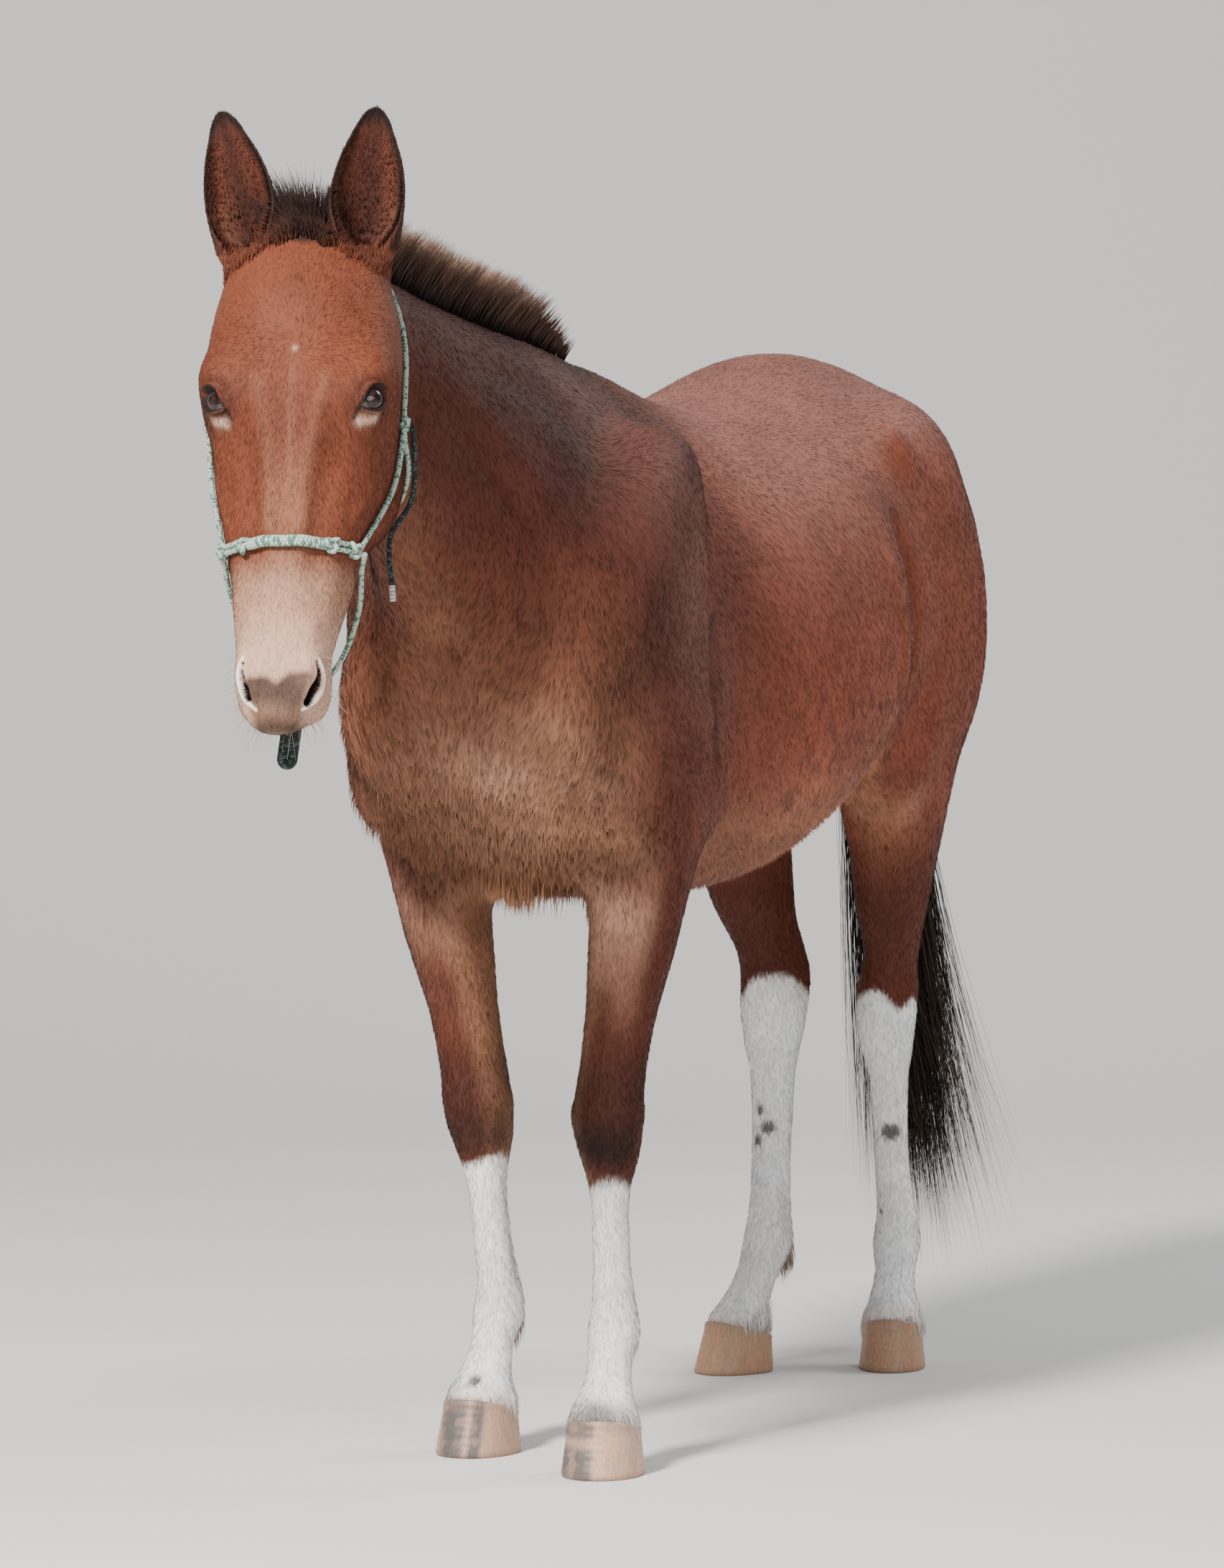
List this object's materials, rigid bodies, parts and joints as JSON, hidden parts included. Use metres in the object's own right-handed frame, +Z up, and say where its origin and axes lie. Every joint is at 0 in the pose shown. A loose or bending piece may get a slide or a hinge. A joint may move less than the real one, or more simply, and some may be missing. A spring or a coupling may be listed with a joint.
{
  "type": "mule",
  "caption": "Bay mule with white stockings and a clipped mane, standing at rest with its head turned a little left, in a knotted rope halter.",
  "frame": {"origin": "on the floor under the middle of the animal's outline, at the level of the soles", "axes": "+Z up, -Y the way the body faces, +X towards the animal's left side"},
  "size_m": [0.6192, 2.3352, 1.8314],
  "materials": {
    "bay_hide": "short red-brown coat",
    "dark_bay_hide": "short dark brown coat",
    "white_hide": "short white coat",
    "black_hair": "long coarse hair",
    "horn": "satin horn",
    "wet_eye": "wet, glossy",
    "halter_rope": "braided rope",
    "dark_rope": "braided rope"
  },
  "bodies": {
    "root": {"head": "bay_hide", "neck": "dark_bay_hide", "torso": "bay_hide", "tail": "black_hair", "leg_fore_left": "white_hide", "leg_fore_right": "white_hide", "leg_hind_left": "white_hide", "leg_hind_right": "white_hide", "hoof_fore_left": "horn", "hoof_fore_right": "horn", "hoof_hind_left": "horn", "hoof_hind_right": "horn", "ear_left": "dark_bay_hide", "ear_right": "dark_bay_hide", "eye_left": "wet_eye", "eye_right": "wet_eye", "halter": "halter_rope", "halter_chin_loop": "dark_rope", "halter_end": "dark_rope"}
  },
  "joints": []
}
